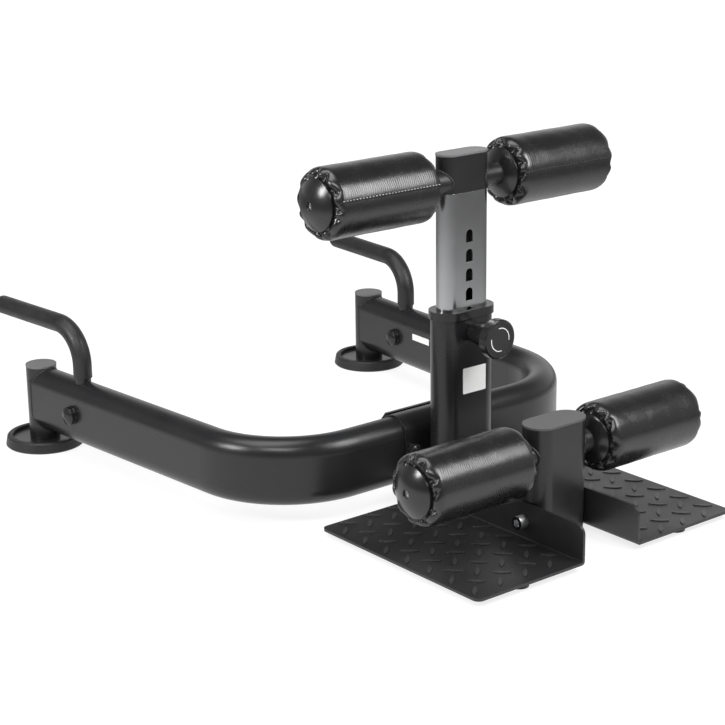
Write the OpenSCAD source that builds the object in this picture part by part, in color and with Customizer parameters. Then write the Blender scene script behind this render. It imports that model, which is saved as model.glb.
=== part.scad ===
// Sissy squat bench: a floor frame of flat-oval tube, a height-adjustable mast with two calf
// rollers, two ankle rollers on a short post, two tread plates and two push-up handles.
// Millimetres. +Z is up, +Y runs back along the arms, +X runs to the right along the rollers.
// The origin is on the floor, under the middle of the bench's box.

/* [Flat-oval tube] */
// Long side of the frame tube's section
tube_h = 100; // [80:1:120]
// Short side of the frame tube's section
tube_t = 50; // [44:1:60]
// Wall of every frame tube
tube_wall = 3; // [2:0.5:4]

/* [Arms] */
// From the mast's axis back to the centre line of the cross tube
cross_back = 61.4; // [58:0.2:90]
// From the floor to the underside of the arms
arm_under = 28; // [24:1:60]
// Centre-line radius of each arm's bend
bend_r = 143; // [90:1:170]
// How far each arm turns outward from straight back, in degrees
arm_splay = 4.35; // [0:0.05:8]
// From the middle plane to an end post's axis
post_x = 334; // [300:1:380]
// From the mast's axis back to an end post's axis
post_back = 624.4; // [500:0.2:800]
// Gap between the two arms' ends inside the centre bracket
arm_end_gap = 8; // [2:1:20]

/* [Centre bracket] */
// Half length of the bracket along the rollers' direction
bracket_half = 76; // [70:1:95]
// Wall of the bracket
bracket_wall = 2.5; // [2:0.5:4]
// From the middle plane to each bracket bolt
bracket_bolt_x = 61; // [58:1:64]
// Length of the clamp plate behind the bracket
clamp_len = 144; // [144:1:150]
// Height of the clamp plate
clamp_h = 92; // [70:1:96]
// Thickness of the clamp plate
clamp_t = 5; // [3:0.5:8]
// Clipped corner of the clamp plate
clamp_clip = 8; // [2:1:12]
// Height of the short plate between the bracket and the mast's sleeve
spacer_h = 38; // [20:1:38]

/* [End posts and feet] */
// Diameter of an end post
end_post_d = 48; // [42:1:50]
// How far an end post's tube stands above the arm
end_post_rise = 1; // [0.5:0.5:30]
// Thickness of the end post's cap
end_cap_t = 3; // [2:0.5:5]
// Diameter of a rubber foot disc at the floor
disc_d = 125; // [110:1:150]
// Height of a rubber foot disc
disc_h = 17; // [15:1:22]
// Width of a foot disc's raised rim
disc_rim = 9; // [6:1:12]
// Thickness of the steel plate set in a foot disc
disc_plate_t = 4; // [3:0.5:6]

/* [Handles] */
// Diameter of a handle's tube
handle_d = 25; // [22:1:28]
// Wall of a handle's tube
handle_wall = 2; // [1.5:0.5:3]
// Thickness of the dipped grip
grip_wall = 2; // [1:0.5:4]
// From the end post's axis forward to the handle's stem
stem_ahead = 115; // [90:1:200]
// From the end post's axis back to the tip of the grip
tip_reach = 107; // [60:1:140]
// Height of the handle's centre line
handle_z = 210; // [195:1:260]
// Centre-line radius of the handle's bend
handle_bend_r = 57; // [40:1:60]
// Bare stub of the stem between the arm and the grip
stub_h = 6; // [4:1:12]

/* [Main beam and posts] */
// From the mast's axis forward to the lower post's axis
lower_ahead = 190.4; // [170:0.2:240]
// From the floor to the underside of the main beam
beam_under = 12.6; // [10:0.2:20]
// Top of the lower post with its cap
lower_top = 172; // [160:1:220]
// Thickness of the lower post's cap
lower_cap_t = 3; // [2:0.5:6]
// Height of the ankle rollers' axis
lower_axis_z = 128.5; // [120:0.5:140]
// Thickness of the plug under the lower post
foot_plug_t = 3; // [2:0.5:3]

/* [Mast] */
// Top of the mast sleeve's collar
collar_top = 293; // [285:1:320]
// Height of the collar's skirt
collar_skirt = 12; // [8:1:16]
// Wall of the collar's skirt
collar_wall = 2.6; // [2:0.2:4]
// Length of the collar's liner inside the sleeve
liner_len = 18; // [10:1:18]
// Long side of the sliding mast's section
mast_w = 84; // [76:1:86]
// Short side of the sliding mast's section
mast_t = 34; // [30:1:36]
// Wall of the sliding mast
mast_wall = 2.5; // [2:0.5:3]
// Foot of the sliding mast
mast_low = 208; // [206:1:209]
// Top of the sliding mast, where its head starts
mast_top = 461; // [450:1:480]
// Height of the mast's head with its cap
head_h = 55; // [50:1:70]
// Thickness of the head's cap
head_cap_t = 3; // [2:0.5:5]
// Height of the calf rollers' axis
upper_axis_z = 476; // [474:0.5:490]

/* [Height lock] */
// Height of the lock pin's axis
pin_z = 261; // [261:0.5:264]
// Spacing of the pin holes
hole_pitch = 28; // [26:0.5:28]
// Holes above the one in use
holes_above = 5; // [3:1:5]
// Holes below the one in use
holes_below = 1; // [1:1:1]
// Width of a pin hole, which is round at its top
hole_w = 12.6; // [12.4:0.1:14]
// Height of a pin hole
hole_h = 18; // [14:0.5:18]
// Diameter of the lock pin
pin_d = 11.6; // [10:0.1:11.6]
// Travel of the lock pin
pin_travel = 10; // [9:0.5:10]
// Diameter of the pull knob
knob_d = 57; // [45:1:60]
// Thickness of the knob's disc
knob_t = 15; // [12:1:20]
// Length of the knob's hub, which slides over the pin's barrel
knob_hub = 29.5; // [24:0.5:34]
// Gap at rest between the knob's hub and the boss behind it
hub_gap = 2.4; // [1:0.2:6]

/* [Rollers] */
// Diameter of a roller pad
pad_d = 100; // [90:1:104]
// Length of a roller between the rims of its end caps
roller_len = 184; // [150:1:190]
// From the middle plane to the middle of a calf roller
upper_mid_x = 164.5; // [162:0.5:180]
// From the middle plane to the middle of an ankle roller
lower_mid_x = 162; // [162:0.5:180]
// Diameter of the roller axles
axle_d = 34; // [30:1:34]
// Wall of the roller axles
axle_wall = 3; // [2:0.5:4]
// Wall of the core tube inside a pad
core_wall = 4; // [3:0.5:5]
// Diameter of a roller's end cap
cap_d = 71; // [66:1:76]
// Height of an end cap's dome
cap_dome = 11; // [8:0.5:12]
// Thickness of an end cap's rim
cap_rim = 3; // [2:0.5:4]
// Gathers round each end of a pad
pleat_count = 12; // [8:1:12]
// Depth of a gather
pleat_depth = 2.6; // [0.5:0.1:3]

/* [Tread plates] */
// Width of a tread plate
tread_w = 191; // [150:1:230]
// Length of a tread plate
tread_len = 325.2; // [300:0.2:360]
// From the mast's axis forward to the toe edge
toe_ahead = 303.7; // [290:0.1:330]
// Thickness of the plate
tread_t = 4; // [3:0.5:6]
// Top of the bolted flange above the floor
flange_top = 64; // [60:1:70]
// From the toe edge back to where the flange starts to slope down
flange_full = 121; // [118:1:140]
// Length of the flange's slope
flange_slope = 123; // [60:1:140]
// Corner radius of the tread
tread_corner = 10; // [4:1:20]
// Corner radius of the flange's top at the toe
flange_corner = 14; // [6:1:20]
// Pitch of the raised lozenges
lozenge_pitch = 44.5; // [40:0.5:60]
// Length of a raised lozenge
lozenge_len = 27; // [20:1:30]
// Width of a raised lozenge
lozenge_w = 6.5; // [5:0.5:9]
// Height of a raised lozenge
lozenge_h = 1.2; // [0.8:0.1:2]
// Diameter of a rubber pad under a tread
pad_foot_d = 30; // [20:1:40]
// From a tread's edges to the middle of the nearest rubber pad
pad_foot_in = 22; // [20:1:40]
// From the middle plane to the rubber pads
pad_foot_x = 150; // [100:1:200]

/* [Fasteners] */
// Shank diameter of the bolts
bolt_d = 10; // [8:1:10]
// Width of the bolts' heads and nuts across their flats
bolt_af = 16; // [15:1:17]
// Height of the bolts' heads
bolt_head = 6.4; // [5:0.2:7]
// Height of the nuts
nut_h = 8; // [6:0.5:10]
// Diameter of the tread bolt's round head
tread_head_d = 19; // [17:0.5:22]
// Height of the tread bolt's head
tread_head_h = 14; // [8:0.5:15]
// Diameter of a bolt cover's flange
cover_d = 30; // [26:1:32]

/* [Clearances] */
// Gap between parts that slide together or stand side by side
slip = 0.3; // [0.3:0.05:0.5]
// Radial clearance of a turning fit
running = 0.05; // [0.02:0.01:0.1]
// Radial clearance of a bolt in its hole
bolt_slip = 0.3; // [0.2:0.1:0.6]

/* [Hidden] */
$fn = 96;

// Colours
black_paint = "#1b1c1e";
black_plastic = "#232426";
vinyl = "#17181a";
chrome = "#c9ccd1";
zinc = "#b4b7bb";
grey_plastic = "#8f9296";
rubber = "#202122";

// A thin overlap that lets a cut run clean past a face
past = 1;
// Gap of a fitted joint that paint or weld fills
fit = 0.1;

// The whole bench is centred between the toe edges and the grips' tips
grip_r = handle_d / 2 + grip_wall;
tip_round = grip_r * 0.62;
rear_reach = post_back + (tip_reach - tip_round) * cos(arm_splay)
  + (grip_r - tip_round) * sin(arm_splay) + tip_round;
mast_y = (toe_ahead - rear_reach) / 2;
cross_y = mast_y + cross_back;
post_y = mast_y + post_back;
lower_y = mast_y - lower_ahead;
toe_y = mast_y - toe_ahead;
heel_y = toe_y + tread_len;

// Arm and bracket
arm_z = arm_under + tube_h / 2;
arm_run = (post_back - cross_back - bend_r * (1 - sin(arm_splay))) / cos(arm_splay);
bend_x = post_x - bend_r * cos(arm_splay) - arm_run * sin(arm_splay);
bracket_h = tube_h + 2 * slip + 2 * bracket_wall;
bracket_t = tube_t + 2 * slip + 2 * bracket_wall;
bracket_back = cross_y + bracket_t / 2;
bracket_front = cross_y - bracket_t / 2;

// Beam, posts and mast
beam_z = beam_under + tube_t / 2;
beam_top = beam_under + tube_t;
cope_tip = 8;
beam_front = lower_y + cope_tip;
sleeve_low = beam_z + cope_tip;
sleeve_top = collar_top - collar_wall;
mast_in_w = mast_w - 2 * mast_wall;
mast_in_t = mast_t - 2 * mast_wall;
sleeve_in_w = tube_h - 2 * tube_wall;
sleeve_in_t = tube_t - 2 * tube_wall;
head_step = 0.3;
head_w = mast_w + 2 * head_step;
head_t = mast_t + 2 * head_step;
head_wall = 3;
head_top = mast_top + head_h;
guide_h = 12;
guide_lip = 3;
guide_wall = 3;
sleeve_front = mast_y - tube_t / 2;
mast_front = mast_y - mast_t / 2;

// Feet
disc_recess = 9;
disc_floor = disc_h - disc_recess;
end_post_low = disc_floor + disc_plate_t;
end_post_top = arm_under + tube_h + end_post_rise + end_cap_t;
disc_taper = 2.5;
disc_in_d = disc_d - 2 * disc_taper - 2 * disc_rim;

// Handle, along the arm's own line from the end post's axis
stem_line = -stem_ahead;
tip_line = tip_reach;
stem_in = 12;
stem_low = arm_under + stem_in;
grip_low = arm_under + tube_h + stub_h;
tube_tip_line = tip_line - grip_wall - fit;

// Height lock, measured forward from the mast's axis
pin_boss_t = 10;
pin_boss_r = 14;
hub_back_y = sleeve_front - fit - pin_boss_t - hub_gap;
knob_back_y = hub_back_y - knob_hub;
knob_face_y = knob_back_y - knob_t;
hub_low_r = 16;
hub_high_r = 20;
knob_edge = 2;
knob_lip = 7;
disc_set = 1.2;
pin_in_knob = 5;
barrel_r = 10;
barrel_bore_r = 8;
barrel_end_wall = 2;
barrel_in_y = sleeve_front + tube_wall;
barrel_nose = 7;
barrel_reach = 26.7;
barrel_out_y = sleeve_front - barrel_reach;
cavity_in_y = barrel_in_y - barrel_nose;
cavity_out_y = barrel_out_y + barrel_end_wall;
pin_tip_in = 9;
pin_tip_y = mast_y - pin_tip_in;
pin_collar_r = 7.5;
pin_collar_t = 3;
pin_collar_gap = 0.7;
pin_collar_y = cavity_in_y - pin_collar_gap;
pin_stem_r = 4;
spring_wire = 1.4;
spring_mean_r = 5.9;
spring_turns = 4;

// Rollers
core_in_r = axle_d / 2 + running;
core_out_r = core_in_r + core_wall;
pad_bore_r = core_out_r + slip;
pad_gap = 0.3;
pad_len = roller_len - 2 * cap_rim - 2 * pad_gap;
core_len = pad_len;
axle_in = 2;
screw_d = 8;
screw_head_d = 11;
screw_well_d = 12;

// Tread plates
tread_x = tube_h / 2 + slip;
tread_under = beam_under - tread_t;
fold_r = tread_t + 1;
lozenge_sink = 0.5;
// The first lozenge of each tread, from the fold and from the toe edge
right_start = [17, 14.5];
left_start = [19.5, 23.5];

bolt_r = bolt_d / 2;
bolt_hole_r = bolt_r + bolt_slip;
// How far a bolt's end stands past its nut
bolt_past = 3;

// Sections and small shapes

module flat_oval(long, short) {
  square([long - short, short], center = true);
  translate([(long - short) / 2, 0]) circle(d = short);
  translate([(short - long) / 2, 0]) circle(d = short);
}

// A flat-oval bar along +Z, its long side along X
module oval_bar(long, short, len) {
  linear_extrude(height = len) flat_oval(long, short);
}

// A bar that runs along -Y from the origin, turned from +Z
module along_minus_y() {
  rotate([90, 0, 0]) children();
}

module hex_prism(af, h) {
  cylinder(d = af / cos(30), h = h, $fn = 6);
}

module on_both_sides() {
  children();
  mirror([1, 0, 0]) children();
}

// From the right arm's end post, turned so that +Y runs back along the arm
module at_arm_line(line, z) {
  translate([post_x, post_y, z]) rotate([0, 0, -arm_splay]) translate([0, line, 0]) children();
}

// Arms

module arm_run_solid(high, thick, start_x, rear_extra) {
  translate([start_x, cross_y, arm_z])
    rotate([90, 0, 90])
      linear_extrude(height = bend_x - start_x)
        rotate(90) flat_oval(high, thick);
  translate([bend_x, cross_y + bend_r, arm_z])
    rotate([0, 0, -90])
      rotate_extrude(angle = 90 - arm_splay)
        translate([bend_r, 0]) rotate(90) flat_oval(high, thick);
  at_arm_line(-arm_run, arm_z)
    rotate([-90, 0, 0])
      linear_extrude(height = arm_run + rear_extra)
        rotate(90) flat_oval(high, thick);
}

module arm() {
  difference() {
    arm_run_solid(tube_h, tube_t, arm_end_gap / 2, 0);
    arm_run_solid(tube_h - 2 * tube_wall, tube_t - 2 * tube_wall, arm_end_gap / 2 - past, past);
    translate([post_x, post_y, 0]) cylinder(d = end_post_d + 2 * fit, h = arm_under + tube_h + past);
    at_arm_line(stem_line, arm_z) cylinder(d = handle_d + 2 * fit, h = tube_h);
    at_arm_line(stem_line, arm_z)
      rotate([0, 90, 0]) cylinder(r = bolt_hole_r, h = tube_t + 2 * past, center = true);
    translate([bracket_bolt_x, cross_y, arm_z])
      rotate([90, 0, 0]) cylinder(r = bolt_hole_r, h = tube_t + 2 * past, center = true);
  }
}

module right_arm() {
  color(black_paint) arm();
}

module left_arm() {
  color(black_paint) mirror([1, 0, 0]) arm();
}

module centre_bracket() {
  color(black_paint)
    difference() {
      translate([-bracket_half, cross_y, arm_z])
        rotate([90, 0, 90])
          linear_extrude(height = 2 * bracket_half)
            difference() {
              rotate(90) flat_oval(bracket_h, bracket_t);
              rotate(90) flat_oval(tube_h + 2 * slip, tube_t + 2 * slip);
            }
      on_both_sides()
        translate([bracket_bolt_x, cross_y, arm_z])
          rotate([90, 0, 0]) cylinder(r = bolt_hole_r, h = bracket_t + 2 * past, center = true);
    }
}

module clamp_plate() {
  half = clamp_len / 2;
  color(black_paint)
    translate([0, bracket_back + fit, arm_z])
      rotate([-90, 0, 0])
        difference() {
          linear_extrude(height = clamp_t)
            polygon([
              [-half, clamp_clip - clamp_h / 2], [clamp_clip - half, -clamp_h / 2],
              [half - clamp_clip, -clamp_h / 2], [half, clamp_clip - clamp_h / 2],
              [half, clamp_h / 2 - clamp_clip], [half - clamp_clip, clamp_h / 2],
              [clamp_clip - half, clamp_h / 2], [-half, clamp_h / 2 - clamp_clip]
            ]);
          for (side = [-1, 1])
            translate([side * bracket_bolt_x, 0, -past])
              cylinder(r = bolt_hole_r, h = clamp_t + 2 * past);
        }
}

// Fasteners. Each is drawn along +Z from the face that its head bears on

module bolt(grip_len) {
  translate([0, 0, -grip_len]) cylinder(r = bolt_r, h = grip_len);
  hex_prism(bolt_af, bolt_head);
}

module nut() {
  difference() {
    hex_prism(bolt_af, nut_h);
    translate([0, 0, -past]) cylinder(r = bolt_r + running, h = nut_h + 2 * past);
  }
}

// A domed plastic cover, hollow for the bolt's head or nut
module bolt_cover() {
  flange_t = 2;
  flange_w = 1;
  rise = 4.5;
  dome_r = cover_d / 2 - flange_w;
  dome_low = nut_h + slip;
  ball = (dome_r * dome_r + rise * rise) / (2 * rise);
  difference() {
    union() {
      cylinder(d = cover_d, h = flange_t);
      cylinder(r = dome_r, h = dome_low);
      translate([0, 0, dome_low + rise - ball])
        intersection() {
          sphere(r = ball);
          translate([0, 0, ball - rise]) cylinder(r = dome_r, h = rise + past);
        }
    }
    translate([0, 0, -past]) cylinder(r = bolt_af / cos(30) / 2 + slip, h = dome_low + past);
  }
}

bracket_grip = bracket_t + fit + clamp_t;

module at_bracket_bolts(y) {
  for (side = [-1, 1])
    translate([side * bracket_bolt_x, y, arm_z]) children();
}

module bracket_bolts() {
  color(zinc)
    at_bracket_bolts(bracket_front)
      along_minus_y() bolt(bracket_grip + nut_h + bolt_past);
}

module bracket_nuts() {
  color(zinc)
    at_bracket_bolts(bracket_front + bracket_grip)
      rotate([-90, 0, 0]) nut();
}

module bracket_bolt_covers() {
  color(black_plastic)
    at_bracket_bolts(bracket_front)
      along_minus_y() bolt_cover();
}

// Main beam with everything welded on it

module beam_solid(extra) {
  translate([0, beam_front, beam_z])
    rotate([-90, 0, 0])
      linear_extrude(height = cross_y - beam_front)
        flat_oval(tube_h + 2 * extra, tube_t + 2 * extra);
}

module main_beam() {
  color(black_paint)
    difference() {
      beam_solid(0);
      translate([0, beam_front - past, beam_z])
        rotate([-90, 0, 0])
          linear_extrude(height = cross_y - beam_front + 2 * past)
            flat_oval(tube_h - 2 * tube_wall, tube_t - 2 * tube_wall);
      bracket_room();
      translate([0, lower_y, beam_under - past]) oval_bar(tube_h + 2 * fit, tube_t + 2 * fit, tube_h);
    }
}

// The space that the centre bracket takes up
module bracket_room() {
  translate([-tube_h, cross_y, arm_z])
    rotate([90, 0, 90])
      linear_extrude(height = 2 * tube_h)
        rotate(90) flat_oval(bracket_h + 2 * fit, bracket_t + 2 * fit);
}

// The sleeve's foot is cut to sit over the beam
module mast_sleeve() {
  color(black_paint)
    difference() {
      translate([0, mast_y, sleeve_low]) oval_bar(tube_h, tube_t, sleeve_top - sleeve_low);
      translate([0, mast_y, sleeve_low - past])
        oval_bar(sleeve_in_w, sleeve_in_t, sleeve_top - sleeve_low + 2 * past);
      beam_solid(fit);
      bracket_room();
      translate([0, barrel_in_y + past, pin_z])
        along_minus_y() cylinder(r = barrel_r + running, h = tube_wall + 2 * past);
    }
}

// The short plate welded between the sleeve and the bracket
module mast_spacer() {
  spacer_half = (tube_h - tube_t) / 2 - 1;
  color(black_paint)
    translate([-spacer_half, mast_y + tube_t / 2 + fit, beam_top + 2])
      cube([2 * spacer_half, bracket_front - mast_y - tube_t / 2 - 2 * fit, spacer_h]);
}

module mast_collar() {
  skirt = collar_wall + fit;
  color(black_plastic)
    translate([0, mast_y, 0])
      difference() {
        union() {
          translate([0, 0, collar_top - collar_skirt])
            oval_bar(tube_h + 2 * skirt, tube_t + 2 * skirt, collar_skirt);
          translate([0, 0, sleeve_top - liner_len])
            oval_bar(sleeve_in_w - 2 * fit, sleeve_in_t - 2 * fit, liner_len);
        }
        translate([0, 0, collar_top - collar_skirt - past])
          difference() {
            oval_bar(tube_h + 2 * fit, tube_t + 2 * fit, collar_skirt - collar_wall + past);
            translate([0, 0, -past])
              oval_bar(sleeve_in_w - 2 * fit, sleeve_in_t - 2 * fit, collar_skirt + 2 * past);
          }
        translate([0, 0, sleeve_top - liner_len - past])
          oval_bar(mast_w + 2 * slip, mast_t + 2 * slip, liner_len + collar_wall + 2 * past);
      }
}

// The lower post stands in front of the beam's end, which is cut to fit its round back
module lower_post() {
  post_h = lower_top - lower_cap_t - beam_under;
  color(black_paint)
    difference() {
      translate([0, lower_y, beam_under]) oval_bar(tube_h, tube_t, post_h);
      translate([0, lower_y, beam_under - past]) oval_bar(sleeve_in_w, sleeve_in_t, post_h + 2 * past);
      translate([0, lower_y, lower_axis_z])
        rotate([0, 90, 0]) cylinder(r = axle_d / 2 + running, h = tube_h + 2 * past, center = true);
      translate([0, lower_y, beam_z])
        rotate([0, 90, 0]) cylinder(r = bolt_hole_r, h = tube_h + 2 * past, center = true);
    }
}

// A flanged plug that closes a flat-oval tube; lip is how far its flange stands past the tube
module oval_plug(long, short, wall, flange_t, top, lip) {
  plug_h = 10;
  translate([0, 0, top - flange_t]) oval_bar(long + 2 * lip, short + 2 * lip, flange_t);
  translate([0, 0, top - flange_t - plug_h])
    oval_bar(long - 2 * wall - 2 * fit, short - 2 * wall - 2 * fit, plug_h);
}

cap_lip = 0.5;

module lower_post_plug() {
  color(black_plastic)
    translate([0, lower_y, beam_under])
      mirror([0, 0, 1]) oval_plug(tube_h, tube_t, tube_wall, foot_plug_t, foot_plug_t, -cap_lip);
}

module lower_post_cap() {
  color(grey_plastic)
    translate([0, lower_y, 0]) oval_plug(tube_h, tube_t, tube_wall, lower_cap_t, lower_top, cap_lip);
}

// Tread plates

// The folded section, with the flange at x = 0 and the tread running to +X
module fold_section() {
  translate([fold_r, 0]) square([tread_w - fold_r, tread_t]);
  translate([0, fold_r]) square([tread_t, flange_top - tread_under - fold_r]);
  intersection() {
    square([fold_r, fold_r]);
    translate([fold_r, fold_r])
      difference() {
        circle(r = fold_r);
        circle(r = fold_r - tread_t);
      }
  }
}

// Side view of the flange, from the toe edge back
module flange_side() {
  h = flange_top - tread_under;
  difference() {
    polygon([
      [0, 0], [0, h], [flange_full, h], [flange_full + flange_slope, tread_t],
      [flange_full + flange_slope, 0]
    ]);
    translate([-past, h - flange_corner]) square([flange_corner + past, flange_corner + past]);
  }
  translate([flange_corner, h - flange_corner]) circle(r = flange_corner);
}

// Plan of the tread, with rounded outer corners
module tread_plan() {
  difference() {
    square([tread_w, tread_len]);
    translate([tread_w - tread_corner, -past]) square([tread_corner + past, tread_corner + past]);
    translate([tread_w - tread_corner, tread_len - tread_corner])
      square([tread_corner + past, tread_corner + past]);
  }
  for (y = [tread_corner, tread_len - tread_corner])
    translate([tread_w - tread_corner, y]) circle(r = tread_corner);
}

// The lozenge's foot is sunk in the plate, so that the two are one piece
module lozenge() {
  arc_r = (lozenge_len * lozenge_len / 4 + lozenge_w * lozenge_w / 4) / lozenge_w;
  linear_extrude(height = lozenge_h + lozenge_sink)
    intersection() {
      translate([0, arc_r - lozenge_w / 2]) circle(r = arc_r);
      translate([0, lozenge_w / 2 - arc_r]) circle(r = arc_r);
    }
}

// Whole lozenges from start, turned this way and that; odd is 1 where the pattern starts half a
// pitch along
module lozenges(start, odd) {
  step = lozenge_pitch / 2;
  reach = lozenge_len / 2 * cos(45) + 2;
  cols = floor((tread_w - reach - start[0]) / step);
  rows = floor((tread_len - reach - start[1]) / step);
  for (i = [0:cols], j = [0:rows])
    if ((i + j + odd) % 2 == 0)
      translate([start[0] + i * step, start[1] + j * step, tread_t - lozenge_sink])
        rotate(i % 2 == 0 ? 45 : -45) lozenge();
}

module tread(start, odd) {
  translate([tread_x, toe_y, tread_under])
    difference() {
      union() {
        intersection() {
          translate([0, tread_len, 0])
            along_minus_y() linear_extrude(height = tread_len) fold_section();
          union() {
            linear_extrude(height = tread_t) tread_plan();
            rotate([90, 0, 90]) linear_extrude(height = fold_r) flange_side();
          }
        }
        lozenges(start, odd);
      }
      translate([-past, lower_y - toe_y, beam_z - tread_under])
        rotate([0, 90, 0]) cylinder(r = bolt_hole_r, h = tread_t + 2 * past);
    }
}

module right_tread() {
  color(black_paint) tread(right_start, 0);
}

module left_tread() {
  color(black_paint) mirror([1, 0, 0]) tread(left_start, 1);
}

tread_grip = 2 * (tread_x + tread_t);

// One long bolt with a round socket head holds both treads on the lower post
module tread_bolt() {
  shank = tread_grip + nut_h + bolt_past;
  socket_h = tread_head_h / 2;
  color(zinc)
    translate([-tread_grip / 2, lower_y, beam_z])
      rotate([0, -90, 0])
        difference() {
          union() {
            translate([0, 0, -shank]) cylinder(r = bolt_r, h = shank);
            cylinder(d = tread_head_d, h = tread_head_h);
          }
          translate([0, 0, tread_head_h - socket_h]) hex_prism(bolt_d, socket_h + past);
        }
}

module tread_nut() {
  color(zinc)
    translate([tread_grip / 2, lower_y, beam_z])
      rotate([0, 90, 0]) nut();
}

module tread_rubber_pads() {
  color(rubber)
    for (side = [-1, 1], y = [toe_y + pad_foot_in, heel_y - pad_foot_in])
      translate([side * pad_foot_x, y, 0]) cylinder(d1 = pad_foot_d - 2, d2 = pad_foot_d, h = tread_under);
}

// End posts and feet

module end_post() {
  translate([post_x, post_y, end_post_low])
    difference() {
      cylinder(d = end_post_d, h = end_post_top - end_cap_t - end_post_low);
      translate([0, 0, -past])
        cylinder(d = end_post_d - 2 * tube_wall, h = end_post_top - end_post_low + 2 * past);
    }
}

module right_end_post() {
  color(black_paint) end_post();
}

module left_end_post() {
  color(black_paint) mirror([1, 0, 0]) end_post();
}

module end_cap() {
  plug_h = 12;
  translate([post_x, post_y, end_post_top - end_cap_t]) {
    cylinder(d = end_post_d + 0.6, h = end_cap_t);
    translate([0, 0, -plug_h]) cylinder(d = end_post_d - 2 * tube_wall - 2 * fit, h = plug_h);
  }
}

module right_end_cap() {
  color(grey_plastic) end_cap();
}

module left_end_cap() {
  color(grey_plastic) mirror([1, 0, 0]) end_cap();
}

// Turned rubber disc with a raised rim and a recess for its plate
module foot_disc() {
  edge = 2;
  rim_out = disc_d / 2 - disc_taper;
  translate([post_x, post_y, 0])
    rotate_extrude()
      polygon([
        [0, 0], [disc_d / 2 - edge, 0], [disc_d / 2, edge], [rim_out, disc_h - edge],
        [rim_out - edge, disc_h], [disc_in_d / 2 + edge / 2, disc_h],
        [disc_in_d / 2, disc_h - edge / 2], [disc_in_d / 2, disc_floor], [0, disc_floor]
      ]);
}

module right_foot_disc() {
  color(rubber) foot_disc();
}

module left_foot_disc() {
  color(rubber) mirror([1, 0, 0]) foot_disc();
}

module disc_plate() {
  translate([post_x, post_y, disc_floor]) cylinder(d = disc_in_d - 2 * slip, h = disc_plate_t);
}

module right_disc_plate() {
  color(black_paint) disc_plate();
}

module left_disc_plate() {
  color(black_paint) mirror([1, 0, 0]) disc_plate();
}

// Handles

// The handle's pieces are drawn in the arm's own frame, from the end post's axis, then turned once

// A round bar that rises from low, bends back and runs level to the line end_line
module hook_bar(r, low, end_line) {
  translate([0, stem_line, low]) cylinder(r = r, h = handle_z - handle_bend_r - low);
  translate([0, stem_line + handle_bend_r, handle_z - handle_bend_r])
    rotate([0, -90, 0])
      rotate([0, 0, -90])
        rotate_extrude(angle = 90) translate([handle_bend_r, 0]) circle(r = r);
  translate([0, stem_line + handle_bend_r, handle_z])
    rotate([-90, 0, 0]) cylinder(r = r, h = end_line - stem_line - handle_bend_r);
}

module handle() {
  at_arm_line(0, 0)
    difference() {
      hook_bar(handle_d / 2, stem_low, tube_tip_line);
      hook_bar(handle_d / 2 - handle_wall, stem_low - past, tube_tip_line + past);
      translate([0, stem_line, arm_z])
        rotate([0, 90, 0]) cylinder(r = bolt_hole_r, h = tube_t, center = true);
    }
}

module right_handle() {
  color(black_paint) handle();
}

module left_handle() {
  color(black_paint) mirror([1, 0, 0]) handle();
}

module grip() {
  at_arm_line(0, 0)
    difference() {
      union() {
        hook_bar(grip_r, grip_low, tip_line - tip_round);
        translate([0, tip_line - tip_round, handle_z])
          rotate([-90, 0, 0])
            rotate_extrude() {
              square([grip_r - tip_round, tip_round]);
              translate([grip_r - tip_round, 0])
                intersection() {
                  circle(r = tip_round);
                  square([tip_round, tip_round]);
                }
            }
      }
      hook_bar(handle_d / 2 + fit, grip_low - past, tube_tip_line + fit);
    }
}

module right_grip() {
  color(rubber) grip();
}

module left_grip() {
  color(rubber) mirror([1, 0, 0]) grip();
}

// Handle bolts go in from the outer side of each arm
module handle_bolts() {
  color(zinc)
    on_both_sides()
      at_arm_line(stem_line, arm_z)
        translate([tube_t / 2, 0, 0]) rotate([0, 90, 0]) bolt(tube_t + nut_h);
}

module handle_nuts() {
  color(zinc)
    on_both_sides()
      at_arm_line(stem_line, arm_z)
        translate([-tube_t / 2, 0, 0]) rotate([0, -90, 0]) nut();
}

module handle_bolt_covers() {
  color(black_plastic)
    on_both_sides()
      at_arm_line(stem_line, arm_z)
        for (side = [-1, 1])
          translate([side * tube_t / 2, 0, 0]) rotate([0, side * 90, 0]) bolt_cover();
}

// Rollers. Each is drawn along +X, from the middle of the roller

// A pad's profile, from its bore out to the middle: distance from the end, radius, and the shares of
// a gather's depth that draw the cover in along the pad and towards its axis
pad_r = pad_d / 2;
pleat_cols = 4;
pad_cols = pleat_cols * pleat_count;
pad_bore_corner = pad_bore_r / cos(180 / pad_cols);
pad_profile = [
  [0, pad_bore_corner, 0, 0], [0, cap_d / 2, 0, 0], [0.6, (cap_d / 2 + pad_r) / 2 - 2, 0.7, 0.1],
  [2.2, pad_r - 3.8, 0.8, 0.7], [5, pad_r - 1.3, 0.3, 1], [10, pad_r - 0.3, 0, 0.5], [19, pad_r, 0, 0]
];
pad_last = len(pad_profile) - 1;

// One ring of the pad's cover, on the side -1 or 1; one point of each pleat lies in its fold
function pad_ring(side, k) = [
  for (c = [0:pad_cols - 1])
    let (
      a = 360 * c / pad_cols, fold = c % pleat_cols == 0 ? pleat_depth : 0,
      at = pad_profile[k],
      x = side * (pad_len / 2 - at[0] - at[2] * fold), r = at[1] - at[3] * fold
    )
      [x, r * cos(a), r * sin(a)]
];

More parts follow.
